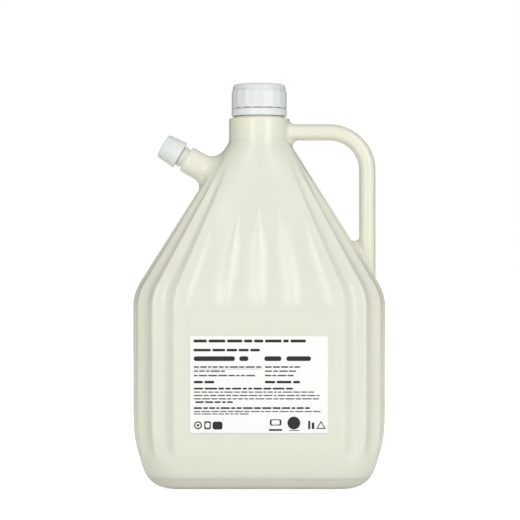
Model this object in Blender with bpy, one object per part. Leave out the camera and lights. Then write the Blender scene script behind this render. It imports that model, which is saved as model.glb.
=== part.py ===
"""A blow-moulded three-litre canister: fluted shoulder, side spout, hollow handle and two screw caps.

Metres, +Z up, the front panel faces -Y. The base stands on Z = 0 and the body is centred on X = Y = 0.
"""

import math

import bmesh
import bpy
import numpy as np
from mathutils import Matrix, Vector

MM = 0.001

# Body section, in millimetres
HALF_WIDTH = 90.5
HALF_DEPTH = 59.0
CORNER_R = 34.0
WALL = 1.5            # plastic thickness measured at the ridges
CONTENTS_GAP = 0.5    # contents stop this far short of the plastic
PANEL_RECESS = 1.0    # front and back label panels sit this far in

# Heights of the body's features
BASE_RECESS = 1.5
PANEL_Z = (34.0, 128.0)
SHOULDER_Z = (131.0, 147.0)
NECK_Z = 250.4
NECK_TOP_Z = 267.2
BODY_TOP_Z = 255.7
JOINT_GAP = 0.3       # gap between the solids that the one moulding is split into
FINISH_TOP_Z = 288.8
CONTENTS_TOP_Z = 226.0

# Neck and main closure radii
NECK_R = 21.9
NECK_FLARE = 0.5      # the shoulder starts to spread just under the neck
FINISH_R = 16.8
BEAD_R = 17.6
BORE_R = 14.6
CAP_R = 20.1
CAP_TOP_R = 19.2
CAP_BORE_R = 18.3
BAND_R = 20.15
CAP_Z = (274.5, 292.0)
BAND_Z = (268.7, 273.9)

# Side spout: measured along its own axis from the shoulder where the finish starts
SPOUT_SHOULDER = (-53.2, 0.0, 237.7)
SPOUT_TILT = 60.0     # degrees from +Z towards -X
SPOUT_R = 9.5
SPOUT_FINISH_R = 7.0
SPOUT_BEAD_R = 7.9
SPOUT_BORE_R = 5.2
SPOUT_TOP = 16.7
SPOUT_CAP_SPAN = (5.2, 19.6)
SPOUT_CAP_RIM_R = 10.35
SPOUT_CAP_END_R = 9.1

# Handle centre line and section
HANDLE_TOP_Z = 257.0
HANDLE_BEND_R = 27.9
HANDLE_BAR_X = 79.0
HANDLE_HALF = (5.9, 8.6)   # half thickness in the handle's plane, and half depth along Y
HANDLE_FOOT_Z = 146.0

# Label
LABEL_SIZE = (97.2, 68.4)
LABEL_Z = 76.2
LABEL_THICK = 0.3
LABEL_CORNER = 1.5

# Where the ridges between flutes cross the wall, as distance round a quarter from the front's middle
SIDE_LENGTH = HALF_WIDTH - CORNER_R + CORNER_R * math.pi / 2 + HALF_DEPTH - CORNER_R
RIDGES = (0.0, 23.9, 51.8, 59.4, 76.3, 93.1, 109.9, SIDE_LENGTH)
KINDS = ("front", "front", "strip", "corner", "corner", "corner", "side")
FLUTE_DEPTH = {"front": 1.3, "strip": 0.0, "corner": 2.2, "side": 1.4}

# Outer skin from the foot up: height, and how far the section is drawn in
FOOT = ((1.5, 32.0), (0.0, 29.0), (0.0, 20.5), (1.3, 14.8), (4.0, 11.4), (8.4, 8.8))
WALL_RINGS = ((20.0, 5.2), (27.0, 3.2), (34.7, 1.3), (45.0, 0.4), (56.0, 0.0), (120.0, 0.0))
SHOULDER_RINGS = (126.0, 131.0, 134.0, 138.0, 142.5, 147.0, 156.0, 168.0, 184.0, 202.0, 220.0, 236.0, 247.0)

CREAM = ((0.80, 0.78, 0.66), 0.42)
MATERIALS = {
    "bottle": CREAM,
    "neck": CREAM,
    "spout": CREAM,
    "handle": CREAM,
    "main_cap": ((0.87, 0.88, 0.89), 0.38),
    "tamper_band": ((0.86, 0.87, 0.88), 0.38),
    "main_cap_liner": ((0.90, 0.90, 0.88), 0.60),
    "spout_cap": ((0.88, 0.88, 0.88), 0.38),
    "spout_cap_liner": ((0.90, 0.90, 0.88), 0.60),
    "label": ((0.88, 0.89, 0.90), 0.45),
    "liquid_soap": ((0.85, 0.86, 0.80), 0.15),
}


def smooth(low, high, value):
    """Eased step from 0 at low to 1 at high."""
    t = min(max((value - low) / (high - low), 0.0), 1.0)
    return t * t * (3 - 2 * t)


def new_object(name, mesh):
    obj = bpy.data.objects.new(name, mesh)
    bpy.context.scene.collection.objects.link(obj)
    return obj


def finish(obj):
    """Gives a node its own material and its shading."""
    colour, roughness = MATERIALS[obj.name]
    material = bpy.data.materials.new(obj.name)
    material.use_nodes = True
    shader = material.node_tree.nodes["Principled BSDF"]
    shader.inputs["Base Color"].default_value = (*colour, 1.0)
    shader.inputs["Roughness"].default_value = roughness
    obj.data.materials.clear()
    obj.data.materials.append(material)
    for face in obj.data.polygons:
        face.use_smooth = True
    obj.data.set_sharp_from_angle(angle=math.radians(35))
    return obj


def loft(name, rings):
    """Closed skin through rings of points in millimetres, with a fan over each end."""
    count = len(rings[0])
    form = bmesh.new()
    rows = [[form.verts.new(Vector(p) * MM) for p in ring] for ring in rings]
    for low, high in zip(rows, rows[1:]):
        for i in range(count):
            j = (i + 1) % count
            form.faces.new((low[i], low[j], high[j], high[i]))
    for row, ring, flip in ((rows[0], rings[0], True), (rows[-1], rings[-1], False)):
        middle = form.verts.new(Vector(np.mean(ring, axis=0)) * MM)
        for i in range(count):
            j = (i + 1) % count
            form.faces.new((row[j], row[i], middle) if flip else (row[i], row[j], middle))
    bmesh.ops.recalc_face_normals(form, faces=form.faces)
    mesh = bpy.data.meshes.new(name)
    form.to_mesh(mesh)
    form.free()
    return new_object(name, mesh)


def turned(name, profile, steps, place=None):
    """Profile of (radius, height) in mm, down its outer side, turned about Z by a Screw modifier."""
    form = bmesh.new()
    points = [form.verts.new((r * MM, 0.0, z * MM)) for r, z in profile]
    closed = profile[0][0] > 0
    pairs = zip(points, points[1:] + points[:1]) if closed else zip(points, points[1:])
    for a, b in pairs:
        form.edges.new((a, b))
    mesh = bpy.data.meshes.new(name)
    form.to_mesh(mesh)
    form.free()
    obj = new_object(name, mesh)
    screw = obj.modifiers.new("turn", "SCREW")
    screw.steps = screw.render_steps = steps
    screw.use_merge_vertices = True
    screw.merge_threshold = 1e-5
    apply_modifiers(obj)
    if place is not None:
        obj.data.transform(place)
    return obj


def apply_modifiers(obj):
    """Replaces the object's mesh with its evaluated one."""
    graph = bpy.context.evaluated_depsgraph_get()
    graph.update()
    mesh = bpy.data.meshes.new_from_object(obj.evaluated_get(graph))
    obj.modifiers.clear()
    obj.data = mesh
    form = bmesh.new()
    form.from_mesh(mesh)
    bmesh.ops.recalc_face_normals(form, faces=form.faces)
    form.to_mesh(mesh)
    form.free()


def combine(target, others, operation):
    """Boolean of each other object onto the target; the others are used up."""
    for other in others:
        step = target.modifiers.new("combine", "BOOLEAN")
        step.operation = operation
        step.solver = "EXACT"
        step.object = other
        apply_modifiers(target)
        bpy.data.objects.remove(other)
    return target


def wall_point(s):
    """Point on a quarter of the wall section and its outward direction, s past the front's middle."""
    flat = HALF_WIDTH - CORNER_R
    arc = CORNER_R * math.pi / 2
    if s < flat:
        return (s, -HALF_DEPTH), (0.0, -1.0)
    if s < flat + arc:
        a = (s - flat) / CORNER_R
        return (flat + CORNER_R * math.sin(a), -(HALF_DEPTH - CORNER_R) - CORNER_R * math.cos(a)), \
            (math.sin(a), -math.cos(a))
    return (HALF_WIDTH, -(SIDE_LENGTH - s)), (1.0, 0.0)


def quarter(segments):
    """Stations of a quarter: place, outward way, way at the neck, flute kind, place across the flute."""
    found = []
    for low, high, kind in zip(RIDGES, RIDGES[1:], KINDS):
        parts = segments[kind]
        for i in range(parts):
            u = i / parts
            found.append((low + (high - low) * u, kind, u))
    found.append((SIDE_LENGTH, "side", 1.0))
    stations = []
    for s, kind, u in found:
        point, out = wall_point(s)
        turn = math.asin(min(point[0] / HALF_WIDTH, 1.0) * 0.985)
        past = max(0.0, s - (SIDE_LENGTH - (HALF_DEPTH - CORNER_R))) / (HALF_DEPTH - CORNER_R)
        turn += (math.pi / 2 - turn) * past
        stations.append((point, out, (math.sin(turn), -math.cos(turn)), kind, u))
    return stations


def flute_strength(kind, z):
    """How much of its full depth a flute has at height z."""
    if kind == "front":
        return smooth(222, 160, z) * smooth(129, 139, z)
    if kind == "side":
        return smooth(240, 170, z) * smooth(129, 139, z)
    return smooth(252, 190, z) * smooth(19, 36, z)


def spread(z):
    """Share of the way from the neck's circle (0) to the wall's section (1)."""
    slope = 0.6205 / (HALF_WIDTH - NECK_R)
    if z >= SHOULDER_Z[1]:
        return max(0.0, (NECK_Z - z) * slope)
    edge = (NECK_Z - SHOULDER_Z[1]) * slope
    t = max(0.0, (z - SHOULDER_Z[0]) / (SHOULDER_Z[1] - SHOULDER_Z[0]))
    return 1.0 - (1.0 - edge) * t * t


def section(z, inset, segments):
    """Ring of the body at height z, drawn in by inset: neck to wall in straight lines, less flutes."""
    share = spread(z)
    right = []
    for point, out, at_neck, kind, u in quarter(segments):
        depth = FLUTE_DEPTH[kind] * flute_strength(kind, z) * 4 * u * (1 - u)
        if abs(point[0]) <= RIDGES[2]:
            depth += PANEL_RECESS * smooth(PANEL_Z[0] - 8, PANEL_Z[0] + 2, z) \
                * smooth(PANEL_Z[1] + 10, PANEL_Z[1] - 2, z)
        ring = []
        for axis in (0, 1):
            base = NECK_R * at_neck[axis] * (1 - share) + point[axis] * share
            way = at_neck[axis] * (1 - share) + out[axis] * share
            ring.append(base - way * (inset + depth))
        right.append(ring)
    back = [(x, -y) for x, y in right[-2::-1]]
    half = right + back
    left = [(-x, y) for x, y in half[-2:0:-1]]
    return [(x, y, z) for x, y in half + left]


def body_rings(segments, inset, floor, top):
    """Rings of the whole body drawn in by inset, standing on a floor at that height, up to the neck."""
    rings = []
    if floor == 0.0:
        rings += [section(z, draw, segments) for z, draw in FOOT]
    else:
        rings += [section(floor + BASE_RECESS, 30.5, segments), section(floor, 20.5 + inset, segments)]
        rings.append(section(4.0 + floor, 11.4 + inset, segments))
    walls = [(z, draw) for z, draw in WALL_RINGS] + [(z, 0.0) for z in SHOULDER_RINGS]
    rings += [section(z, draw + inset, segments) for z, draw in walls if z < top - 3]
    return rings


def neck_circle(z, radius, segments):
    """Ring at the neck that keeps the body's own stations, so that the skin runs on without a twist."""
    ring = section(NECK_Z, 0.0, segments)
    return [(x * radius / NECK_R, y * radius / NECK_R, z) for x, y, _ in ring]


def sweep(name, path, halves, count):
    """Oval tube along a path in the XZ plane; halves are its half thickness in the plane and half depth."""
    rings = []
    for i, (x, z) in enumerate(path):
        before, after = path[max(i - 1, 0)], path[min(i + 1, len(path) - 1)]
        along = Vector((after[0] - before[0], after[1] - before[1])).normalized()
        ring = []
        for k in range(count):
            a = 2 * math.pi * k / count
            side = halves[0] * math.copysign(abs(math.cos(a)) ** 0.8, math.cos(a))
            deep = halves[1] * math.copysign(abs(math.sin(a)) ** 0.8, math.sin(a))
            ring.append((x + along[1] * side, deep, z - along[0] * side))
        rings.append(ring)
    return loft(name, rings)


def handle_path(start, foot):
    """Centre line of the handle: out from the neck, round the bend and straight down into the shoulder."""
    bend_x = HANDLE_BAR_X - HANDLE_BEND_R
    path = [(start, HANDLE_TOP_Z), (36.0, HANDLE_TOP_Z)]
    for i in range(9):
        a = math.pi / 2 * i / 8
        z = HANDLE_TOP_Z - HANDLE_BEND_R * (1 - math.cos(a))
        path.append((bend_x + HANDLE_BEND_R * math.sin(a), z))
    path += [(HANDLE_BAR_X, 190.0), (HANDLE_BAR_X, 170.0), (HANDLE_BAR_X, foot)]
    return path


def web(name, outline, half, edge):
    """Plate through an outline in the XZ plane, this far each way along Y, with its long edges rounded."""
    form = bmesh.new()
    front = [form.verts.new((x * MM, -half * MM, z * MM)) for x, z in outline]
    face = form.faces.new(front)
    moved = bmesh.ops.extrude_face_region(form, geom=[face])
    verts = [g for g in moved["geom"] if isinstance(g, bmesh.types.BMVert)]
    bmesh.ops.translate(form, verts=verts, vec=(0, 2 * half * MM, 0))
    bmesh.ops.recalc_face_normals(form, faces=form.faces)
    rims = [e for e in form.edges if abs(e.verts[0].co.y - e.verts[1].co.y) < 1e-6]
    bmesh.ops.bevel(form, geom=rims, offset=edge * MM, segments=3, profile=0.5, affect="EDGES")
    mesh = bpy.data.meshes.new(name)
    form.to_mesh(mesh)
    form.free()
    return new_object(name, mesh)


def spout_frame():
    """Matrix that puts +Z along the spout, with its origin on the spout's shoulder."""
    turn = Matrix.Rotation(-math.radians(SPOUT_TILT), 4, "Y")
    return Matrix.Translation(Vector(SPOUT_SHOULDER) * MM) @ turn


def grown_body(name, gap):
    """Body and neck drawn this far outwards: what the spout and the handle are cut back from."""
    fine = {"front": 3, "strip": 1, "corner": 3, "side": 2}
    rings = body_rings(fine, -gap, 0.0, NECK_Z)
    rings += [neck_circle(z, NECK_R + gap + extra, fine)
              for z, extra in ((NECK_Z, NECK_FLARE), (BODY_TOP_Z, 0.0), (FINISH_TOP_Z, 0.0))]
    return loft(name, rings)


def make_bottle():
    """Hollow body and fluted shoulder up to the joint under the neck, open at the top and at the spout."""
    fine = {"front": 3, "strip": 1, "corner": 3, "side": 2}
    coarse = {"front": 2, "strip": 1, "corner": 2, "side": 2}
    outer = body_rings(fine, 0.0, 0.0, NECK_Z)
    outer += [neck_circle(z, NECK_R + extra, fine)
              for z, extra in ((NECK_Z, NECK_FLARE), (BODY_TOP_Z, 0.0))]
    inner = body_rings(coarse, WALL, WALL, NECK_Z)
    inner += [neck_circle(z, NECK_R - WALL, coarse) for z in (NECK_Z + 0.6, BODY_TOP_Z + 4.0)]
    hole = turned("hole", [(0, 0.0), (SPOUT_BORE_R, 0.0), (SPOUT_BORE_R, -34.0), (0, -34.0)],
                  20, spout_frame())
    return combine(loft("bottle", outer), [loft("cavity", inner), hole], "DIFFERENCE")


def make_neck():
    """Neck cylinder, its ledge and the finish that the main cap screws on, with the bore right through."""
    low = BODY_TOP_Z + JOINT_GAP
    return turned("neck", [
        (FINISH_R - 0.6, FINISH_TOP_Z), (FINISH_R, FINISH_TOP_Z - 0.6), (FINISH_R, 273.0), (BEAD_R, 272.2),
        (BEAD_R, 271.4), (FINISH_R, 270.6), (FINISH_R, NECK_TOP_Z), (NECK_R - 0.8, NECK_TOP_Z),
        (NECK_R, NECK_TOP_Z - 0.8), (NECK_R, low), (NECK_R - WALL, low), (NECK_R - WALL, 262.0),
        (BORE_R, 265.4), (BORE_R, FINISH_TOP_Z)], 48)


def make_spout():
    """Tube that flares on to the shoulder, with the finish of the spout cap and a bore right through."""
    spout = turned("spout", [
        (0, SPOUT_TOP), (SPOUT_FINISH_R - 0.5, SPOUT_TOP), (SPOUT_FINISH_R, SPOUT_TOP - 0.5),
        (SPOUT_FINISH_R, 4.2), (SPOUT_BEAD_R, 3.6), (SPOUT_BEAD_R, 2.6), (SPOUT_FINISH_R, 2.0),
        (SPOUT_FINISH_R, 0.0), (SPOUT_R - 0.6, 0.0), (SPOUT_R, -0.6), (SPOUT_R + 0.3, -6.5),
        (SPOUT_R + 1.2, -11.5), (SPOUT_R + 3.0, -15.5), (SPOUT_R + 5.0, -20.0), (0, -32.0)],
        28, spout_frame())
    high = SPOUT_TOP + 4.0
    bore = turned("bore", [(0, high), (SPOUT_BORE_R, high), (SPOUT_BORE_R, -40.0), (0, -40.0)],
                  20, spout_frame())
    return combine(spout, [grown_body("clearance", JOINT_GAP), bore], "DIFFERENCE")


def make_handle():
    """Hollow tube from the neck round to the shoulder, with a web in the corner at each end."""
    foot = [(55.0, 178.6), (64.6, 182.8)]
    for i in range(6):
        a = math.radians(212 + 148 * i / 5)
        foot.append((69.0 + 4.1 * math.cos(a), 182.3 + 4.1 * math.sin(a)))
    foot += [(78.0, 184.0), (84.6, 178.0), (84.9, 152.0), (84.9, 143.0), (70.0, 140.0)]
    throat = [(16.0, 251.0), (16.0, 260.0), (30.0, 260.0), (32.0, 251.4), (29.4, 250.9), (27.6, 248.6),
              (27.4, 246.0), (25.6, 241.0), (16.0, 241.0)]
    handle = sweep("handle", handle_path(15.0, HANDLE_FOOT_Z), HANDLE_HALF, 16)
    combine(handle, [web("handle_foot", foot, 7.0, 3.0), web("handle_throat", throat, 6.6, 2.6)], "UNION")
    tube = [half - WALL for half in HANDLE_HALF]
    hollow = sweep("hollow", handle_path(13.0, HANDLE_FOOT_Z - 6.0), tube, 12)
    return combine(handle, [grown_body("clearance", JOINT_GAP), hollow], "DIFFERENCE")


def make_contents():
    """The soap, up to its fill line: one solid that follows the inside of the plastic."""
    coarse = {"front": 2, "strip": 1, "corner": 2, "side": 2}
    inset = WALL + CONTENTS_GAP
    rings = body_rings(coarse, inset, inset, CONTENTS_TOP_Z)
    rings.append(section(CONTENTS_TOP_Z, inset, coarse))
    return loft("liquid_soap", rings)


def cap_profile(rim_r, end_r, top_r, bore_r, low, high, roof):
    """Cup open at the bottom, run down its outer side and back up inside."""
    corner = 1.6
    return [(0, high), (top_r - corner, high), (top_r - 0.45, high - 0.5), (top_r, high - corner),
            (end_r, high - 5.4), (rim_r, low + 0.8), (rim_r, low), (bore_r, low), (bore_r, high - roof),
            (0, high - roof)]


def make_closures():
    frame = spout_frame()
    low, high = CAP_Z
    turned("main_cap", cap_profile(CAP_R, CAP_R - 0.05, CAP_TOP_R, CAP_BORE_R, low, high, 1.6), 48)
    turned("main_cap_liner", [(0, high - 1.9), (17.9, high - 1.9), (17.9, high - 2.9), (0, high - 2.9)], 32)
    low, high = BAND_Z
    turned("tamper_band", [(BAND_R - 0.15, high), (BAND_R, low + 0.9), (BAND_R - 0.35, low), (18.1, low),
                           (18.1, high)], 48)
    low, high = SPOUT_CAP_SPAN
    profile = cap_profile(SPOUT_CAP_RIM_R, 9.6, SPOUT_CAP_END_R, 8.3, low, high, 1.5)
    turned("spout_cap", profile, 36, frame)
    turned("spout_cap_liner", [(0, high - 1.8), (8.0, high - 1.8), (8.0, high - 2.6), (0, high - 2.6)],
           24, frame)


def make_label():
    """Thin rounded rectangle standing just clear of the front panel."""
    wide, high = LABEL_SIZE[0] / 2 - LABEL_CORNER, LABEL_SIZE[1] / 2 - LABEL_CORNER
    form = bmesh.new()
    back_y = -(HALF_DEPTH - PANEL_RECESS) - 0.3
    outline = []
    for sx, sz, start in ((1, 1, 0), (-1, 1, 90), (-1, -1, 180), (1, -1, 270)):
        for i in range(4):
            a = math.radians(start + 30 * i)
            z = LABEL_Z + sz * high + LABEL_CORNER * math.sin(a)
            outline.append((sx * wide + LABEL_CORNER * math.cos(a), z))
    face = form.faces.new([form.verts.new((x * MM, back_y * MM, z * MM)) for x, z in outline])
    moved = bmesh.ops.extrude_face_region(form, geom=[face])
    verts = [g for g in moved["geom"] if isinstance(g, bmesh.types.BMVert)]
    bmesh.ops.translate(form, verts=verts, vec=(0, -LABEL_THICK * MM, 0))
    bmesh.ops.recalc_face_normals(form, faces=form.faces)
    mesh = bpy.data.meshes.new("label")
    form.to_mesh(mesh)
    form.free()
    return new_object("label", mesh)


def main():
    for obj in list(bpy.data.objects):
        bpy.data.objects.remove(obj)
    make_bottle()
    make_neck()
    make_spout()
    make_handle()
    make_contents()
    make_closures()
    make_label()
    for name in MATERIALS:
        finish(bpy.data.objects[name])


main()
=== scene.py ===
import math
import bpy
import bmesh
import numpy as np
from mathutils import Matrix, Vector


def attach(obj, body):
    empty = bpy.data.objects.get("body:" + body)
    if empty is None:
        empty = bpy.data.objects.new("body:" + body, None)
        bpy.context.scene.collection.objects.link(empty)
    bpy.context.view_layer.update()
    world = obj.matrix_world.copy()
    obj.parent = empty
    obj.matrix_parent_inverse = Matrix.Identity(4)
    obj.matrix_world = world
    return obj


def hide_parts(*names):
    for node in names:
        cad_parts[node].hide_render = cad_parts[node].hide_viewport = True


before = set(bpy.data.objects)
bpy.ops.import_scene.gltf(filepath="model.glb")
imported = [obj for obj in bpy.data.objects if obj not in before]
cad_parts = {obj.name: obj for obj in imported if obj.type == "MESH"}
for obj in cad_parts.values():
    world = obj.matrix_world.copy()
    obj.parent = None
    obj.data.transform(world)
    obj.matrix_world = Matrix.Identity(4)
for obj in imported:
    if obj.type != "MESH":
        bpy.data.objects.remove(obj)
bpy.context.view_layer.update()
print("frame loaded")

mm = 0.001
seed = 7

def smoothStep(low, high, value):
    # eased step: 3t^2 - 2t^3 with t the share of the way from low to high
    t = np.clip((np.asarray(value, float) - low) / (high - low), 0, 1)
    return t * t * (3 - 2 * t)


def curveThrough(points, per):
    # Catmull-Rom curve: a cubic through every point, with slopes taken from its neighbours
    p = np.asarray(points, float)
    p = np.vstack([2 * p[0] - p[1], p, 2 * p[-1] - p[-2]])
    t = (np.arange(per) / per)[:, None, None]
    a, b, c, d = p[:-3], p[1:-2], p[2:-1], p[3:]
    rows = 0.5 * (2 * b + (c - a) * t + (2 * a - 5 * b + 4 * c - d) * t ** 2 + (3 * b - a - 3 * c + d) * t ** 3)
    return np.vstack([rows.transpose(1, 0, 2).reshape(-1, p.shape[1]), p[-2]])


def gridPiece(name, points, body, material, sharp=None):
    # skin over rows of points in millimetres; every row closes on itself, and a row of equal points is a pole
    rows, cols = points.shape[:2]
    index = np.arange(rows * cols).reshape(rows, cols)
    near, far = index[:-1], index[1:]
    quads = np.stack([near, np.roll(near, -1, 1), np.roll(far, -1, 1), far], -1).reshape(-1, 4)
    return meshPiece(name, points.reshape(-1, 3), quads, body, material, sharp)


def meshPiece(name, points, faces, body, material, sharp=None):
    mesh = bpy.data.meshes.new(name)
    mesh.from_pydata((np.asarray(points) * mm).tolist(), [], np.asarray(faces).tolist())
    form = bmesh.new()
    form.from_mesh(mesh)
    bmesh.ops.remove_doubles(form, verts=form.verts, dist=2e-7)
    bmesh.ops.dissolve_degenerate(form, edges=form.edges, dist=1e-8)
    bmesh.ops.recalc_face_normals(form, faces=form.faces)
    form.to_mesh(mesh)
    form.free()
    mesh.shade_smooth()
    if sharp:
        mesh.set_sharp_from_angle(angle=math.radians(sharp))
    obj = bpy.data.objects.new(name, mesh)
    bpy.context.scene.collection.objects.link(obj)
    mesh.materials.append(material)
    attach(obj, body)
    return obj


def ringPoints(radius, height, count):
    # circle of each radius at each height: x = r sin a, y = -r cos a
    a = 2 * np.pi * np.arange(count) / count
    r, z = np.asarray(radius, float)[:, None], np.asarray(height, float)[:, None]
    return np.stack([r * np.sin(a), -r * np.cos(a), z + 0 * a], -1)


def placed(points, origin, tilt):
    # turns +Z towards -X by tilt and moves the origin
    c, s = math.cos(tilt), math.sin(tilt)
    x, y, z = points[..., 0], points[..., 1], points[..., 2]
    return np.stack([x * c - z * s, y, x * s + z * c], -1) + np.asarray(origin)


def newMaterial(name):
    material = bpy.data.materials.new(name)
    material.use_nodes = True
    tree = material.node_tree
    return material, tree, tree.nodes["Principled BSDF"]


def addNode(tree, kind, **inputs):
    node = tree.nodes.new(kind)
    for key, value in inputs.items():
        node.inputs[key.replace("_", " ")].default_value = value
    return node


def noiseFrom(tree, scale, detail=3.0, rough=0.5, stretch=(1, 1, 1)):
    place = tree.nodes.new("ShaderNodeTexCoord")
    mapping = tree.nodes.new("ShaderNodeMapping")
    mapping.inputs["Scale"].default_value = stretch
    noise = addNode(tree, "ShaderNodeTexNoise", Scale=scale, Detail=detail, Roughness=rough)
    tree.links.new(place.outputs["Object"], mapping.inputs["Vector"])
    tree.links.new(mapping.outputs["Vector"], noise.inputs["Vector"])
    return noise


def colourRamp(tree, source, low, high, start=0.3, end=0.7):
    ramp = tree.nodes.new("ShaderNodeValToRGB")
    ramp.color_ramp.elements[0].position, ramp.color_ramp.elements[1].position = start, end
    ramp.color_ramp.elements[0].color = (*low, 1)
    ramp.color_ramp.elements[1].color = (*high, 1)
    tree.links.new(source, ramp.inputs["Fac"])
    return ramp


def plasticMaterial(name, low, high, roughness, grain, scatter=0.0, scatterWay=(0.006, 0.005, 0.003),
                    cloud=14.0, depth=0.00005, ior=1.5):
    # cloudy two-tone colour, a roughness that wanders, and a bump of fine grain over slow waviness
    material, tree, shader = newMaterial(name)
    link = tree.links.new
    clouds = noiseFrom(tree, cloud, 4.0, 0.55)
    link(colourRamp(tree, clouds.outputs["Fac"], low, high).outputs["Color"], shader.inputs["Base Color"])
    wander = noiseFrom(tree, 45.0, 3.0)
    spread = addNode(tree, "ShaderNodeMapRange")
    spread.inputs["To Min"].default_value = roughness - 0.02
    spread.inputs["To Max"].default_value = roughness + 0.03
    link(wander.outputs["Fac"], spread.inputs["Value"])
    link(spread.outputs["Result"], shader.inputs["Roughness"])
    fine = noiseFrom(tree, grain, 2.0)
    waves = noiseFrom(tree, 28.0, 2.0, 0.4, (1, 1, 0.45))
    waveBump = addNode(tree, "ShaderNodeBump", Strength=0.35, Distance=depth * 6)
    fineBump = addNode(tree, "ShaderNodeBump", Strength=0.5, Distance=depth)
    link(waves.outputs["Fac"], waveBump.inputs["Height"])
    link(fine.outputs["Fac"], fineBump.inputs["Height"])
    link(waveBump.outputs["Normal"], fineBump.inputs["Normal"])
    link(fineBump.outputs["Normal"], shader.inputs["Normal"])
    shader.inputs["IOR"].default_value = ior
    if scatter:
        shader.inputs["Subsurface Weight"].default_value = scatter
        shader.inputs["Subsurface Radius"].default_value = scatterWay
        shader.inputs["Subsurface Scale"].default_value = 1.0
    return material


creamPlastic = plasticMaterial("creamPlastic", (0.762, 0.758, 0.668), (0.775, 0.771, 0.684), 0.24, 1900.0,
                               0.35, (0.004, 0.004, 0.003), ior=1.54)
capPlastic = plasticMaterial("capPlastic", (0.752, 0.780, 0.808), (0.768, 0.794, 0.822), 0.30, 2200.0, 0.40,
                             (0.004, 0.004, 0.004))
linerFoam = plasticMaterial("linerFoam", (0.80, 0.80, 0.77), (0.86, 0.86, 0.83), 0.70, 3200.0, depth=0.0001)
labelFilm = plasticMaterial("labelFilm", (0.875, 0.882, 0.898), (0.895, 0.900, 0.914), 0.36, 2600.0,
                            depth=0.00002)
printInk = plasticMaterial("printInk", (0.010, 0.010, 0.012), (0.020, 0.020, 0.023), 0.45, 3000.0,
                           depth=0.00001)
greyInk = plasticMaterial("greyInk", (0.060, 0.060, 0.065), (0.090, 0.090, 0.095), 0.48, 3000.0,
                          depth=0.00001)
soapLiquid = plasticMaterial("soapLiquid", (0.80, 0.80, 0.72), (0.84, 0.84, 0.77), 0.12, 900.0, 0.6,
                             depth=0.00002, ior=1.36)
print("materials made")

bottleSet = {
    "halfWide": 90.5, "halfDeep": 59.0, "cornerR": 34.0, "wall": 1.5, "panelIn": 1.0,
    "neckR": 21.9, "neckZ": 250.4, "slope": 0.6205, "shoulder": (131.0, 147.0), "neckBlend": 2.4,
    "ridges": (0.0, 23.9, 51.8, 59.4, 76.3, 93.1, 109.9),
    "deep": (0.0, 0.0, 0.0, 3.1, 2.7, 2.1, 1.5),        # flute depths, front to side
    "crest": (1.0, 1.0, 1.0, 0.26, 0.40, 0.40, 0.3),    # how rounded the ridges are
    "across": (20, 20, 6, 18, 16, 16, 14),              # grid lines in each flute
    "petals": (0.0, 23.9, 51.8), "valley": 1.75, "petalSlope": 0.238, "petalTip": 0.35, "petalEnd": 131.5,
    "seamHigh": 0.13, "seamHalf": 0.45,
}
quarterLong = 56.5 + 34.0 * math.pi / 2 + 25.0


def wallPoint(s):
    # quarter of the wall's section: straight front, round corner, straight side; returns place and outward way
    b = bottleSet
    flat, r = b["halfWide"] - b["cornerR"], b["cornerR"]
    a = np.clip((s - flat) / r, 0, np.pi / 2)
    straight = np.minimum(s, flat)
    past = np.maximum(s - flat - r * np.pi / 2, 0)
    x = straight + r * np.sin(a)
    y = -(b["halfDeep"] - r) - r * np.cos(a) + past
    return x, y, np.sin(a), -np.cos(a)


def fluteDepth(s, z):
    # each flute is a scallop: the square root of sine squared plus a constant rounds the ridges between them
    b = bottleSet
    edges = np.array(b["ridges"] + (quarterLong,))
    which = np.clip(np.searchsorted(edges, s, side="right") - 1, 0, len(b["deep"]) - 1)
    u = (s - edges[which]) / (edges[which + 1] - edges[which])
    crest = np.array(b["crest"])[which]
    scallop = (np.sqrt(np.sin(np.pi * u) ** 2 + crest ** 2) - crest) / (np.sqrt(1 + crest ** 2) - crest)
    # front ridges: tents of one slope that run out in points at the panel, under a cut-off at the valleys' depth
    away = np.min(np.abs(s[None] - np.array(b["petals"]).reshape(-1, *[1] * s.ndim)), axis=0)
    tent = b["petalSlope"] * (np.hypot(away, b["petalTip"]) - b["petalTip"]) * (s < b["petals"][-1])
    below = b["petalEnd"] - z
    tent = tent + b["petalSlope"] * 0.5 * (below + np.hypot(below, 1.2)) + 1e-6
    valley = b["panelIn"] + (b["valley"] - b["panelIn"]) * smoothStep(126, 136, z)
    valley = valley * smoothStep(206, 166, z) * smoothStep(26, 36, z) + 1e-6
    petal = tent * valley / (tent ** 4 + valley ** 4) ** 0.25 * smoothStep(59.0, 52.6, s)
    side = smoothStep(240, 170, z) * smoothStep(129.5, 138.5, z)
    corner = smoothStep(241, 194, z) * smoothStep(20, 35, z)
    strength = np.where(which == len(b["deep"]) - 1, side, corner)
    seam = b["seamHigh"] * np.exp(-((quarterLong - s) / b["seamHalf"]) ** 2)
    return np.array(b["deep"])[which] * scallop * strength + petal - seam


def wallShare(z):
    # 0 at the neck's circle and 1 at the wall: a straight cone, eased at the neck and rounded over the shoulder
    b = bottleSet
    slope = b["slope"] / (b["halfWide"] - b["neckR"])
    k = b["neckBlend"] * slope
    line = (b["neckZ"] - z) * slope
    eased = 0.5 * (line + np.sqrt(line ** 2 + k ** 2)) - 0.5 * k * np.exp(-np.abs(line) / (4 * k))
    edge = (b["neckZ"] - b["shoulder"][1]) * slope
    t = np.clip((z - b["shoulder"][0]) / (b["shoulder"][1] - b["shoulder"][0]), 0, None)
    return np.where(z < b["shoulder"][1], 1 - (1 - edge) * t * t, np.clip(eased, 0, 1))


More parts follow.
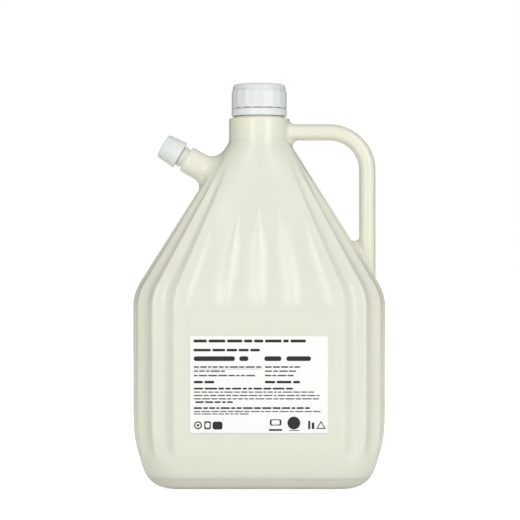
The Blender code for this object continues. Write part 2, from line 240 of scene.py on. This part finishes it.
def bodySection(around, z, inset):
    # one ring at each height: the neck's circle and the wall's section mixed, then moved in along their outward ways
    b = bottleSet
    q = np.mod(around, 4 * quarterLong)
    part = np.floor(q / quarterLong).astype(int)
    s = np.where(part == 0, q, np.where(part == 1, 2 * quarterLong - q,
                 np.where(part == 2, q - 2 * quarterLong, 4 * quarterLong - q)))
    right = np.where(part < 2, 1.0, -1.0)
    front = np.where((part == 0) | (part == 3), 1.0, -1.0)
    x, y, nx, ny = wallPoint(s)
    turn = np.arcsin(np.minimum(x / b["halfWide"], 1) * 0.985)
    turn = turn + (np.pi / 2 - turn) * np.clip((s - (quarterLong - 25.0)) / 25.0, 0, 1)
    cx, cy = np.sin(turn), -np.cos(turn)
    z, inset = np.asarray(z, float)[:, None], np.asarray(inset, float)[:, None]
    share = wallShare(z)
    move = inset + fluteDepth(s, z)
    px = b["neckR"] * cx * (1 - share) + x * share - (cx * (1 - share) + nx * share) * move
    py = b["neckR"] * cy * (1 - share) + y * share - (cy * (1 - share) + ny * share) * move
    return np.stack([px * right, py * front, z + 0 * px], -1)


def bodyStations():
    # grid lines round the body: closer together at the ridges, each of which has a line of its own
    edges = np.array(bottleSet["ridges"] + (quarterLong,))
    shares = [np.arange(n) / n for n in bottleSet["across"]]
    parts = [a + (c - a) * (u - 0.1 * np.sin(2 * np.pi * u)) for a, c, u in zip(edges, edges[1:], shares)]
    quarter = np.concatenate(parts)
    seam = quarterLong - np.array([1.2, 0.6, 0.25])
    quarter = np.unique(np.concatenate([quarter, seam]))
    half = np.concatenate([quarter, [quarterLong], 2 * quarterLong - quarter[:0:-1]])
    return np.concatenate([half, [2 * quarterLong], 4 * quarterLong - half[:0:-1]])


def buildBody():
    stations = bodyStations()
    foot = curveThrough([(0.0, 29.0), (0.0, 27.5), (0.4, 24.0), (1.4, 19.8), (3.1, 15.9), (5.8, 12.4), (9.4, 9.5),
                         (14.0, 7.3), (20.0, 5.3), (27.0, 3.2), (34.7, 1.3), (44.0, 0.35), (56.0, 0.0)], 5)
    under = np.array([(1.5, 33.0), (1.5, 31.8), (1.3, 30.9), (0.7, 30.2), (0.2, 29.6)])
    walls = np.concatenate([np.arange(62, 122, 6.0), np.arange(123, 151, 0.9), np.arange(151.5, 246, 2.6),
                            np.arange(246, 256, 1.0), [258, 260, 262, 264, 265.6]])
    outer = np.vstack([under, foot, np.stack([walls, 0 * walls], -1),
                       [(266.3, 0.15), (266.8, 0.45), (267.1, 0.9), (267.2, 1.5), (267.2, 4.0), (267.2, 7.28)]])
    wall = bottleSet["wall"]
    inside = np.array([(266.0, 7.3), (262.0, 7.0), (256.0, 3.4), (250.0, wall)])
    walls = np.array([246.0, 236, 226, 214, 202, 190, 178, 166, 156, 150, 146, 142, 138, 134, 130, 126, 116, 90, 60])
    lower = np.array([(45.0, 0.4), (34.7, 1.3), (27.0, 3.2), (20.0, 5.3), (8.4, 8.8), (5.0, 12.5)])
    inner = np.vstack([inside, np.stack([walls, 0 * walls + wall], -1), lower + (0, wall), [(1.6, 20.5)]])
    profile = np.vstack([outer, inner])
    rows = bodySection(stations, profile[:, 0], profile[:, 1])
    shares = np.linspace(0, 1, 6)[:-1, None, None]
    low = rows[:1] * np.concatenate([shares, shares, shares * 0 + 1], -1)
    floorRing = bodySection(stations, [3.0], [31.0])
    high = floorRing * np.concatenate([shares[::-1], shares[::-1], shares * 0 + 1], -1)
    grid = np.concatenate([low, rows, floorRing, high])
    obj = gridPiece("bottleBody", grid, "canister", creamPlastic)
    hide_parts("bottle")
    return obj


bottleBody = buildBody()
print("body", len(bottleBody.data.polygons))

# distance table of the body's radius by angle and height, for landing the spout and the handle on it
tableZ = np.arange(0.0, 268.0, 1.0)
tableA = np.linspace(-np.pi, np.pi, 1441)


def radiusTable():
    rings = bodySection(bodyStations(), tableZ, 0 * tableZ)
    angle = np.arctan2(rings[..., 1], rings[..., 0])
    radius = np.hypot(rings[..., 0], rings[..., 1])
    order = np.argsort(angle, axis=1)
    return np.array([np.interp(tableA, a[o], r[o], period=2 * np.pi) for a, r, o in zip(angle, radius, order)])


bodyRadius = radiusTable()


def outside(p):
    # distance out from the body's skin, measured level from its middle: radius of the point less radius of the body
    a = (np.arctan2(p[..., 1], p[..., 0]) + np.pi) / (2 * np.pi) * (len(tableA) - 1)
    z = np.clip(p[..., 2], 0, tableZ[-1] - 1e-6)
    i, j = np.floor(z).astype(int), np.clip(np.floor(a).astype(int), 0, len(tableA) - 2)
    i = np.minimum(i, len(tableZ) - 2)
    fz, fa = z - i, a - j
    near = bodyRadius[i, j] * (1 - fa) + bodyRadius[i, j + 1] * fa
    far = bodyRadius[i + 1, j] * (1 - fa) + bodyRadius[i + 1, j + 1] * fa
    return np.hypot(p[..., 0], p[..., 1]) - (near * (1 - fz) + far * fz)


def outwardWay(p):
    # gradient of that distance by small steps, made a unit vector
    step = 1.2
    ways = [(outside(p + step * e) - outside(p - step * e)) for e in np.eye(3)]
    g = np.stack(ways, -1)
    return g / np.linalg.norm(g, axis=-1, keepdims=True)


def landing(start, way, reach):
    # first place along the way from each start where the body's skin is met: march, then halve the step
    steps = np.linspace(0, reach, 240)
    found = np.stack([outside(start + way * t) for t in steps]) < 0
    first = np.argmax(found, axis=0)
    high = steps[first]
    low = steps[np.maximum(first - 1, 0)]
    for _ in range(24):
        middle = (low + high) / 2
        inside = outside(start + way * middle[:, None]) < 0
        low, high = np.where(inside, low, middle), np.where(inside, middle, high)
    return high


def flare(ring, middle, way, gap, widen, rows, reach, lean=None, pull=0.42, sink=0.06):
    # each line of a tube leaves its straight run and lands flat on the body: a cubic between two tangents
    ringWay = ring - middle
    outDir = ringWay / np.linalg.norm(ringWay, axis=-1, keepdims=True)
    if lean is not None:
        outDir = outDir * (1 - lean[1][:, None]) + np.array(lean[0]) * lean[1][:, None]
        outDir = outDir / np.linalg.norm(outDir, axis=-1, keepdims=True)
    hit = landing(ring, way, reach)
    start = ring + way * (hit - gap)[:, None]
    wide = ring + outDir * widen[:, None]
    land = wide + way * landing(wide, way, reach)[:, None]
    normal = outwardWay(land)
    land = land - normal * sink
    back = -outDir - np.sum(-outDir * normal, -1, keepdims=True) * normal
    back = back / np.linalg.norm(back, axis=-1, keepdims=True)
    span = np.linalg.norm(land - start, axis=-1, keepdims=True)
    one, two = start + way * span * pull, land + back * span * pull
    t = np.linspace(0, 1, rows)[:, None, None]
    curve = start * (1 - t) ** 3 + 3 * one * t * (1 - t) ** 2 + 3 * two * t ** 2 * (1 - t) + land * t ** 3
    return curve, normal


threadMain = {"lead": 8.0, "starts": 2, "phase": 0.0, "high": 0.95}
threadSpout = {"lead": 5.0, "starts": 2, "phase": 0.0, "high": 0.55}


def threadBump(angle, z, thread, low, high, shift):
    # raised helix: a rounded ridge wherever height less lead times turn is near a whole pitch, faded at both ends
    pitch = thread["lead"] / thread["starts"]
    turn = (z - low) / pitch - thread["starts"] * angle / (2 * np.pi) - shift
    across = np.abs(turn - np.round(turn)) * 2
    ridge = smoothStep(0.62, 0.22, across)
    return ridge * smoothStep(low, low + 1.6, z) * smoothStep(high, high - 1.6, z)


neckSet = {"r": 16.8, "beadR": 17.6, "boreR": 14.6, "topZ": 288.8, "threadZ": (274.5, 287.2), "count": 180}


def buildNeckFinish():
    n = neckSet
    z = np.arange(274.2, 287.6, 0.28)
    outer = np.vstack([[(18.4, 266.9), (18.75, 267.3), (18.75, 267.9), (18.55, 268.3), (18.0, 268.45), (17.2, 268.5),
                        (n["r"], 268.9), (n["r"], 269.6), (n["r"] + 0.1, 270.4)],
                       curveThrough([(n["r"] + 0.2, 270.7), (n["beadR"], 271.2), (n["beadR"] + 0.02, 271.8),
                                     (n["beadR"] - 0.2, 272.4), (n["r"], 273.4)], 4),
                       np.stack([0 * z + n["r"], z], -1),
                       [(n["r"], 288.1), (n["r"] - 0.18, 288.5), (n["r"] - 0.5, 288.75), (n["r"] - 0.9, 288.8),
                        (n["boreR"] + 0.5, 288.8), (n["boreR"] + 0.15, 288.65), (n["boreR"], 288.3),
                        (n["boreR"], 280), (n["boreR"], 267.0), (n["r"], 266.9)]])
    a = 2 * np.pi * np.arange(n["count"]) / n["count"]
    angle = a - np.pi / 2
    radius = outer[:, :1] + 0 * a
    isOuter = (np.arange(len(outer)) < len(outer) - 10)[:, None]
    bump = threadBump(angle[None], outer[:, 1:], threadMain, *n["threadZ"], threadMain["phase"])
    radius = radius + threadMain["high"] * bump * isOuter
    grid = np.stack([radius * np.sin(a), -radius * np.cos(a), outer[:, 1:] + 0 * a], -1)
    obj = gridPiece("neckFinish", grid, "canister", creamPlastic, 60)
    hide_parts("neck")


buildNeckFinish()

spoutSet = {"origin": (-53.2, 0.0, 237.7), "tilt": math.radians(60), "r": 9.5, "finishR": 7.0, "beadR": 7.9,
            "boreR": 5.2, "top": 16.7, "threadZ": (5.0, 15.6), "count": 96}


def buildSpout():
    p = spoutSet
    count = p["count"]
    a = 2 * np.pi * np.arange(count) / count
    back = np.array([math.sin(p["tilt"]), 0.0, -math.cos(p["tilt"])])
    ring = placed(ringPoints([p["r"] + 0.25], [-1.2], count)[0], p["origin"], p["tilt"])
    middle = placed(np.array([0.0, 0.0, -1.2]), p["origin"], p["tilt"])
    up = (1 + np.sin(a)) / 2                       # 1 on the side towards the neck
    widen = 7.2 + 4.6 * up ** 2
    gap = 7.5 + 3.0 * up
    hit = landing(ring, back, 60)
    gap = np.minimum(gap, hit - 0.5)
    curve, normal = flare(ring, middle, back, gap, widen, 26, 60)
    pole = curve[-1].mean(0) + back * 3.0
    rows = [np.repeat(pole[None], count, 0)[None], curve[::-1]]
    t = np.array([0.66, 0.33])[:, None, None]
    rows.append(curve[0] * t + ring * (1 - t))
    z = np.arange(4.6, 15.9, 0.22)
    profile = np.vstack([[(p["r"] + 0.25, -1.2), (p["r"] + 0.12, -0.8), (p["r"] - 0.15, -0.35), (p["r"] - 0.6, -0.08),
                          (p["r"] - 1.1, 0.0), (p["finishR"] + 0.5, 0.0), (p["finishR"] + 0.12, 0.12),
                          (p["finishR"], 0.5), (p["finishR"], 1.7)],
                         curveThrough([(p["finishR"] + 0.1, 2.0), (p["beadR"], 2.6), (p["beadR"] + 0.03, 3.1),
                                       (p["beadR"], 3.6), (p["finishR"] + 0.1, 4.2)], 4),
                         np.stack([0 * z + p["finishR"], z], -1),
                         [(p["finishR"], 16.1), (p["finishR"] - 0.15, 16.5), (p["finishR"] - 0.5, p["top"]),
                          (p["boreR"] + 0.3, p["top"]), (p["boreR"], 16.4), (p["boreR"], 8.0), (p["boreR"], 0.0),
                          (p["boreR"] + 0.4, -9.0), (0.0, -9.3)]])
    radius = profile[:, :1] + 0 * a
    isOuter = (np.arange(len(profile)) < len(profile) - 9)[:, None]
    bump = threadBump(a[None] - np.pi / 2, profile[:, 1:], threadSpout, *p["threadZ"], 0.0)
    radius = radius + threadSpout["high"] * bump * isOuter
    tube = np.stack([radius * np.sin(a), -radius * np.cos(a), profile[:, 1:] + 0 * a], -1)
    rows.append(placed(tube, p["origin"], p["tilt"]))
    obj = gridPiece("spoutTube", np.concatenate(rows), "canister", creamPlastic, 60)
    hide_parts("spout")


buildSpout()
print("neck and spout made")

handleSet = {"topZ": 257.0, "bendR": 27.9, "barX": 79.0, "half": (5.85, 8.6), "count": 72, "power": 0.82}


def handleRing(x, z, along):
    # rounded oval across the path: cosine and sine raised to a power a little under one
    h = handleSet
    a = 2 * np.pi * np.arange(h["count"]) / h["count"]
    side = h["half"][0] * np.sign(np.cos(a)) * np.abs(np.cos(a)) ** h["power"]
    deep = h["half"][1] * np.sign(np.sin(a)) * np.abs(np.sin(a)) ** h["power"]
    return np.stack([x - along[1] * side, deep, z + along[0] * side], -1)


def buildHandle():
    h = handleSet
    bendX = h["barX"] - h["bendR"]
    a = 2 * np.pi * np.arange(h["count"]) / h["count"]
    outer = np.cos(a)                                # 1 outside the bend, -1 inside
    startRing = handleRing(44.0, h["topZ"], (1, 0))
    wayIn = np.array([-1.0, 0.0, 0.0])
    widen = 4.2 + 1.6 * np.clip(-outer, 0, 1)
    gap = 5.0 + 2.0 * np.clip(-outer, 0, 1)
    top, _ = flare(startRing, np.array([44.0, 0, h["topZ"]]), wayIn, gap, widen, 18, 40)
    bend = np.linspace(0, np.pi / 2, 26)
    turns = [handleRing(bendX + h["bendR"] * math.sin(t), h["topZ"] - h["bendR"] * (1 - math.cos(t)),
                        (math.cos(t), -math.sin(t))) for t in bend]
    down = np.array([0.0, 0.0, -1.0])
    footRing = handleRing(h["barX"], 196.0, (0, -1))
    inner = np.clip(-outer, 0, 1)                    # 1 on the side towards the finger gap
    widen = 1.2 + 1.2 * np.clip(1 - np.abs(outer), 0, 1) + 6.4 * inner ** 0.7
    gap = 6.0 + 7.0 * inner
    foot, _ = flare(footRing, np.array([h["barX"], 0, 196.0]), down, gap, widen, 26, 80,
                    ((-1.0, 0.0, 0.0), np.clip(2.2 * inner, 0, 1)), 0.42 + 0.1 * inner[:, None])
    rows = [np.repeat((top[-1].mean(0) + wayIn * 3)[None], h["count"], 0)[None], top[::-1]]
    t = np.linspace(0, 1, 5)[1:-1, None, None]
    rows.append(top[0] * (1 - t) + turns[0] * t)
    rows.append(np.array(turns))
    rows.append(turns[-1] * (1 - t) + footRing * t)
    rows.append(footRing[None])
    rows.append(footRing * (1 - t) + foot[0] * t)
    rows.append(foot)
    rows.append(np.repeat((foot[-1].mean(0) - (4, 0, 4))[None], h["count"], 0)[None])
    obj = gridPiece("handleBar", np.concatenate(rows), "canister", creamPlastic, 70)
    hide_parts("handle")


buildHandle()
print("handle made")

capSet = {"r": 20.1, "boreR": 18.3, "low": 274.5, "high": 292.0, "roof": 1.6, "panels": 18,
          "panelDeep": 0.38, "count": 216, "bridges": 15}
ringSet = {"r": 20.15, "boreR": 18.1, "low": 268.7, "high": 273.9}


def capGrip(angle, panels, deep):
    # flat grip panels: the radius falls to the middle of each panel as on a polygon, with narrow rounded corners
    t = np.mod(angle * panels / (2 * np.pi), 1.0) * 2 - 1
    return -deep * (1 - np.abs(t) ** 2.2)


def buildMainCap():
    c = capSet
    a = 2 * np.pi * np.arange(c["count"]) / c["count"]
    angle = a - np.pi / 2
    high, low = c["high"], c["low"]
    top = [(0.0, high - 0.25), (5.0, high - 0.22), (10.0, high - 0.12), (14.5, high), (16.6, high - 0.05)]
    side = curveThrough([(16.6, high - 0.05), (17.9, high - 0.45), (18.85, high - 1.45), (19.2, high - 2.9),
                         (19.3, high - 4.3), (19.42, high - 4.9), (19.95, high - 5.5), (20.05, high - 6.4),
                         (20.1, high - 9.5), (20.1, high - 12.5), (20.1, high - 14.8)], 5)
    lip = [(20.1, high - 15.2), (20.02, high - 15.5), (20.12, high - 15.9), (20.15, low + 0.5), (20.1, low + 0.15),
           (19.95, low), (c["boreR"] + 0.2, low), (c["boreR"], low + 0.2)]
    z = np.arange(low + 0.5, high - c["roof"] - 0.5, 0.3)
    inner = np.stack([0 * z + c["boreR"], z], -1)
    roof = [(c["boreR"], high - c["roof"] - 0.3), (c["boreR"] - 0.3, high - c["roof"]), (0.0, high - c["roof"])]
    profile = np.vstack([top, side[1:], lip, inner, roof])[::-1]
    radius = profile[:, :1] + 0 * a
    z = profile[:, 1:]
    isPast = np.arange(len(profile))[:, None] > len(inner) + 2
    isOuter = (profile[:, :1] > 18.4) & (z > low + 0.9) & isPast
    grip = smoothStep(high - 1.8, high - 5.2, z) * smoothStep(high - 15.5, high - 14.9, z)
    radius = radius + isOuter * grip * capGrip(angle, c["panels"], c["panelDeep"])
    isInner = (np.abs(profile[:, :1] - c["boreR"]) < 0.01)
    bump = threadBump(angle[None], z, threadMain, 274.5, 287.4, threadMain["phase"] + 0.5)
    radius = radius - 0.75 * bump * isInner * smoothStep(275.0, 276.5, z)
    grid = np.stack([radius * np.sin(a), -radius * np.cos(a), z + 0 * a], -1)
    obj = gridPiece("mainCap", grid, "main_closure", capPlastic, 50)
    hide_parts("main_cap")


def buildTamperRing():
    r = ringSet
    profile = np.array([(r["boreR"], r["low"] + 0.2), (r["boreR"], r["high"] - 0.15), (r["boreR"] + 0.2, r["high"]),
                        (19.75, r["high"]), (19.98, r["high"] - 0.12), (20.02, r["high"] - 0.5),
                        (20.05, 272.4), (20.12, 271.0), (20.2, 269.9), (20.22, 269.3), (20.1, 268.9), (19.8, r["low"]),
                        (r["boreR"] + 0.25, r["low"]), (r["boreR"], r["low"] + 0.2)])[::-1]
    grid = ringPoints(profile[:, 0], profile[:, 1], 144)
    obj = gridPiece("tamperRing", grid, "canister", capPlastic, 50)
    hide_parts("tamper_band")


def boxRows(low, high):
    # corners of many small boxes at once, with the six faces of each
    low, high = np.asarray(low, float), np.asarray(high, float)
    pick = np.array([(i & 1, (i >> 1) & 1, (i >> 2) & 1) for i in range(8)])
    points = low[:, None] * (1 - pick) + high[:, None] * pick
    faces = np.array([(0, 2, 3, 1), (4, 5, 7, 6), (0, 1, 5, 4), (2, 6, 7, 3), (0, 4, 6, 2), (1, 3, 7, 5)])
    quads = (np.arange(len(low)) * 8)[:, None, None] + faces
    return points, quads.reshape(-1, 4)


def buildBridges():
    # short tabs left across the slit, still on the cap; each box is turned to its own place round the ring
    n = capSet["bridges"]
    points, faces = boxRows([(-1.0, 19.2, 273.92)] * n, [(1.0, 20.13, 274.8)] * n)
    a = (2 * np.pi * (np.arange(n) + 0.39) / n)[:, None] + np.pi
    x = points[..., 0] * np.cos(a) - points[..., 1] * np.sin(a)
    y = points[..., 0] * np.sin(a) + points[..., 1] * np.cos(a)
    points = np.stack([x, y, points[..., 2]], -1).reshape(-1, 3)
    meshPiece("capBridges", points, faces, "main_closure", capPlastic, 30)


buildMainCap()
buildTamperRing()
buildBridges()

spoutCapSet = {"low": 5.2, "high": 19.6, "boreR": 8.3, "roof": 1.5, "count": 144, "ribs": 36}


def buildSpoutCap():
    c, p = spoutCapSet, spoutSet
    a = 2 * np.pi * np.arange(c["count"]) / c["count"]
    high, low = c["high"], c["low"]
    outer = np.vstack([[(0.0, high - 0.15), (3.0, high - 0.12), (6.0, high), (7.4, high)],
                       curveThrough([(7.4, high), (8.35, high - 0.25), (8.9, high - 0.8), (9.1, high - 1.7),
                                     (9.45, high - 6.0), (9.85, high - 10.5), (10.05, high - 12.3)], 4)[1:],
                       [(10.3, high - 12.7), (10.36, high - 13.1), (10.36, low + 0.45), (10.2, low + 0.12),
                        (9.9, low), (c["boreR"] + 0.2, low), (c["boreR"], low + 0.2)]])
    z = np.arange(low + 0.4, high - c["roof"] - 0.3, 0.25)
    inner = np.stack([0 * z + c["boreR"], z], -1)
    profile = np.vstack([outer, inner, [(c["boreR"], high - c["roof"] - 0.2), (c["boreR"] - 0.3, high - c["roof"]),
                                        (0.0, high - c["roof"])]])[::-1]
    radius = profile[:, :1] + 0 * a
    z = profile[:, 1:]
    isInner = np.abs(profile[:, :1] - c["boreR"]) < 0.01
    bump = threadBump(a[None] - np.pi / 2, z, threadSpout, 5.0, 15.6, 0.5)
    radius = radius - 0.5 * bump * isInner * smoothStep(5.6, 6.6, z)
    isSkirt = (profile[:, :1] > 9.05) & (np.arange(len(profile))[:, None] > len(inner) + 4)
    ribs = 0.07 * np.cos(c["ribs"] * a)
    ribs = ribs * smoothStep(high - 1.8, high - 3.2, z) * smoothStep(high - 12.4, high - 11.4, z)
    radius = radius + ribs * isSkirt
    grid = np.stack([radius * np.sin(a), -radius * np.cos(a), z + 0 * a], -1)
    grid = placed(grid, p["origin"], p["tilt"])
    obj = gridPiece("spoutCap", grid, "spout_closure", capPlastic, 50)
    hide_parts("spout_cap")


buildSpoutCap()
print("closures made")

labelSet = {"size": (97.2, 68.4), "z": 76.2, "y": -58.0, "thick": 0.25, "corner": 1.6, "bevel": 0.08,
            "ink": (0.002, 0.04), "marksUp": 5.6}


def roundedOutline(wide, high, corner, per=8):
    # rectangle with quarter circles at its corners, as points in order
    a = np.linspace(0, np.pi / 2, per)
    turns = np.concatenate([a + i * np.pi / 2 for i in range(4)])
    sx = np.repeat([1, -1, -1, 1], per)
    sz = np.repeat([1, 1, -1, -1], per)
    return np.stack([sx * (wide / 2 - corner) + corner * np.cos(turns),
                     sz * (high / 2 - corner) + corner * np.sin(turns)], -1)


def buildLabel():
    l = labelSet
    edge = roundedOutline(*l["size"], l["corner"])
    inner = roundedOutline(l["size"][0] - 2 * l["bevel"], l["size"][1] - 2 * l["bevel"], l["corner"] - l["bevel"])
    yBack, yFront = l["y"], l["y"] - l["thick"]
    rows = [(0 * edge, yBack), (edge, yBack), (edge, yFront + l["bevel"]), (inner, yFront), (0 * edge, yFront)]
    grid = np.stack([np.stack([o[:, 0], 0 * o[:, 0] + y, o[:, 1] + l["z"]], -1) for o, y in rows])
    obj = gridPiece("labelSheet", grid, "canister", labelFilm, 30)
    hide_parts("label")


def wordRow(random, z, high, start, stop, word, gap):
    # bars of uneven length along a line, standing in for words
    bars, x = [], start
    while x < stop - word * 0.3:
        long = min(word * random.uniform(0.45, 1.5), stop - x) if word < 12 else stop - x
        bars.append((x, x + long, z - high / 2, z + high / 2))
        x += long + gap
    return bars


printSet = {
    "strong": (  # height on the label, bar height, word length, gap, and the spans along the line
        (30.7, 2.0, 8.5, 1.2, ((-46.2, 32.9),)), (24.3, 1.8, 9.5, 1.1, ((-46.2, 0.9),)),
        (18.3, 3.3, 15.0, 2.0, ((-46.0, -17.1), (-13.9, -7.6), (3.7, 15.6), (19.2, 36.4))),
        (1.8, 1.7, 7.0, 1.1, ((-46.0, -28.6), (4.0, 28.7))), (-2.8, 1.25, 6.0, 0.9, ((-46.0, 23.7),)),
        (-12.3, 1.2, 6.0, 0.9, ((-44.9, -15.9),)), (-16.5, 1.25, 5.0, 0.8, ((-46.0, 35.6),)),
        (-31.9, 1.3, 9.5, 1.0, ((6.8, 16.3),))),
    "light": (
        (12.4, 1.1, 4.5, 0.7, ((-46.0, 1.6), (4.0, 29.9))), (10.95, 0.2, 60.0, 0.5, ((-46.0, 1.6),)),
        (9.5, 1.0, 4.5, 0.7, ((-46.0, -22.1), (4.0, 27.8))), (6.4, 1.0, 4.5, 0.7, ((-46.0, -0.9), (4.0, 24.3))),
        (-5.25, 0.85, 4.5, 0.7, ((-46.0, 40.6),)), (-7.65, 0.85, 4.5, 0.7, ((-46.0, 43.5),)),
        (-10.0, 0.85, 4.5, 0.7, ((-46.0, 42.4),)), (-18.9, 0.75, 4.5, 0.7, ((-46.0, 43.8),)),
        (-20.6, 0.75, 4.5, 0.7, ((-46.0, -7.4),)), (-32.2, 0.6, 9.0, 0.7, ((20.9, 28.3),)))}


def buildPrint():
    # lines of plain bars, darker and taller for headings
    random = np.random.default_rng(seed)
    for name, rows, ink in (("labelPrintStrong", "strong", printInk),
                            ("labelPrintLight", "light", greyInk)):
        bars = []
        for z, high, word, gap, spans in printSet[rows]:
            for start, stop in spans:
                bars += wordRow(random, z + labelSet["z"], high, start, stop, word, gap)
        flatShapes(name, [plate((a + b) / 2, (c + d) / 2, b - a, d - c, min(b - a, d - c) * 0.42)
                          for a, b, c, d in bars], ink)


def flatShapes(name, shapes, material):
    # flat plates from outlines: an outer ring and an inner one, joined; an inner ring of no size makes it solid
    points, faces, count = [], [], 0
    y = labelSet["y"] - labelSet["thick"]
    under, face = [y - h for h in labelSet["ink"]]
    for outer, inner in shapes:
        n = len(outer)
        rings = [(inner, under), (outer, under), (outer, face), (inner, face)]
        points += [np.stack([r[:, 0], 0 * r[:, 0] + h, r[:, 1]], -1) for r, h in rings]
        index = count + np.arange(4 * n).reshape(4, n)
        far = np.roll(index, -1, 0)
        faces.append(np.stack([index, np.roll(index, -1, 1), np.roll(far, -1, 1), far], -1).reshape(-1, 4))
        count += 4 * n
    points, faces = np.concatenate(points), np.concatenate(faces)
    return meshPiece(name, points, faces, "canister", material, 30)


def disc(cx, cz, r, hole=0.0, sides=32, turn=0.0):
    a = 2 * np.pi * np.arange(sides) / sides + turn
    way = np.stack([np.cos(a), np.sin(a)], -1)
    return way * r + (cx, cz), way * hole + (cx, cz)


def plate(cx, cz, wide, high, corner, hole=0.0):
    outer = roundedOutline(wide, high, corner, 5)
    return outer + (cx, cz), outer * hole + (cx, cz)


def buildMarks():
    # a row of plain discs, blocks, bars and a triangle along the label's foot
    low = labelSet["z"] - labelSet["size"][1] / 2 + labelSet["marksUp"]
    shapes = [disc(-43.0, low, 2.8, 1.9), disc(-43.0, low, 0.9), plate(-36.3, low, 4.6, 5.6, 1.0, 0.62),
              plate(-29.3, low - 0.2, 7.0, 5.6, 1.6),
              plate(11.6, low + 2.0, 8.2, 4.4, 1.2, 0.7), disc(24.4, low + 1.6, 4.5, 0.0, 40),
              plate(35.2, low + 0.2, 1.5, 6.0, 0.6), plate(37.9, low - 0.4, 1.8, 4.6, 0.5),
              disc(43.5, low - 0.6, 3.9, 2.5, 3, np.pi / 2)]
    flatShapes("labelMarks", shapes, printInk)


buildLabel()
buildPrint()
buildMarks()
for name, material in (("main_cap_liner", linerFoam), ("spout_cap_liner", linerFoam),
                       ("liquid_soap", soapLiquid)):
    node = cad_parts[name]
    node.data.materials.clear()
    node.data.materials.append(material)
print("label made")

stageSet = {"floor": (0.80, 0.80, 0.79), "floorGlow": 0.80, "fill": (0.435, 0.431, 0.350),
            "gloss": (0.06, 0.06, 0.06),
            "floorHalf": 14.0, "floorBounce": 0.12, "cameraAway": 1.600, "cameraZ": 0.1639, "cameraX": 0.0006, "lens": 151.7}


def seenOnly(tree, other, seen):
    # a strength that is one number straight from the camera and another in bounced light
    path = tree.nodes.new("ShaderNodeLightPath")
    strength = tree.nodes.new("ShaderNodeMapRange")
    strength.inputs["To Min"].default_value, strength.inputs["To Max"].default_value = other, seen
    tree.links.new(path.outputs["Is Camera Ray"], strength.inputs["Value"])
    return strength.outputs["Result"]


def buildStage():
    size = stageSet["floorHalf"]
    mesh = bpy.data.meshes.new("floorPlane")
    corners = [(-size, -size, 0), (size, -size, 0), (size, size, 0), (-size, size, 0)]
    mesh.from_pydata(corners, [], [(0, 1, 2, 3)])
    floor = bpy.data.objects.new("floorPlane", mesh)
    bpy.context.scene.collection.objects.link(floor)
    floor.location.z = -0.0004
    material, tree, shader = newMaterial("floorPaint")
    noise = noiseFrom(tree, 3.0)
    ramp = colourRamp(tree, noise.outputs["Fac"], (0.78, 0.78, 0.78), stageSet["floor"])
    tree.links.new(ramp.outputs["Color"], shader.inputs["Base Color"])
    shader.inputs["Roughness"].default_value = 0.9
    shader.inputs["Specular IOR Level"].default_value = 0.0
    shader.inputs["Emission Color"].default_value = (1, 1, 1, 1)
    glow = seenOnly(tree, stageSet["floorBounce"], stageSet["floorGlow"])
    tree.links.new(glow, shader.inputs["Emission Strength"])
    mesh.materials.append(material)
    world = bpy.data.worlds.new("studioWorld")
    world.use_nodes = True
    tree = world.node_tree
    path = tree.nodes.new("ShaderNodeLightPath")
    # the backdrop shows white; it lights the object less, and its gloss less again
    picks = []
    for ray, seen in (("Is Glossy Ray", (*stageSet["gloss"], 1)), ("Is Camera Ray", (1, 1, 1, 1))):
        pick = tree.nodes.new("ShaderNodeMixRGB")
        pick.inputs["Color2"].default_value = seen
        tree.links.new(path.outputs[ray], pick.inputs["Fac"])
        picks.append(pick)
    picks[0].inputs["Color1"].default_value = (*stageSet["fill"], 1)
    tree.links.new(picks[0].outputs["Color"], picks[1].inputs["Color1"])
    colour = picks[1].outputs["Color"]
    tree.links.new(colour, tree.nodes["Background"].inputs["Color"])
    bpy.context.scene.world = world


lightColour = (0.955, 0.970, 1.0)
lightSet = {  # place, aim, width, height, power and whether it shows in the gloss
    "boxRight": ((1.38, -2.12, 1.10), (0, 0, 0.15), 0.90, 2.2, 23.6, True),
    "boxLeft": ((-1.10, -2.27, 1.10), (0, 0, 0.15), 0.90, 2.2, 19.0, True),
    "frontSoft": ((0.0, -2.0, 0.85), (0, 0, 0.14), 0.8, 0.5, 5.0, False),
    "topSoft": ((0, -0.3, 1.6), (0, 0, 0.1), 1.2, 1.0, 1.0, False),
    "backSoft": ((0.3, 1.9, 1.0), (0, 0, 0.15), 1.2, 1.2, 15.0, False)}


def softLight(name, place, aim, wide, high, power, shine):
    data = bpy.data.lights.new(name, "AREA")
    data.shape = "RECTANGLE"
    data.size, data.size_y, data.energy, data.color = wide, high, power, lightColour
    light = bpy.data.objects.new(name, data)
    bpy.context.scene.collection.objects.link(light)
    light.location = place
    light.visible_glossy = shine
    light.rotation_euler = (Vector(aim) - Vector(place)).to_track_quat("-Z", "Y").to_euler()


def buildLights():
    # two tall soft boxes a little to each side, one above the camera, one overhead and one behind
    for name, settings in lightSet.items():
        softLight(name, *settings)


def buildCamera():
    data = bpy.data.cameras.new("studioCamera")
    data.lens, data.sensor_width = stageSet["lens"], 36.0
    camera = bpy.data.objects.new("studioCamera", data)
    bpy.context.scene.collection.objects.link(camera)
    camera.location = (stageSet["cameraX"], -stageSet["cameraAway"], stageSet["cameraZ"])
    camera.rotation_euler = (math.radians(90), 0, 0)
    bpy.context.scene.camera = camera


buildStage()
buildLights()
buildCamera()
bpy.context.scene.view_settings.view_transform = "Standard"
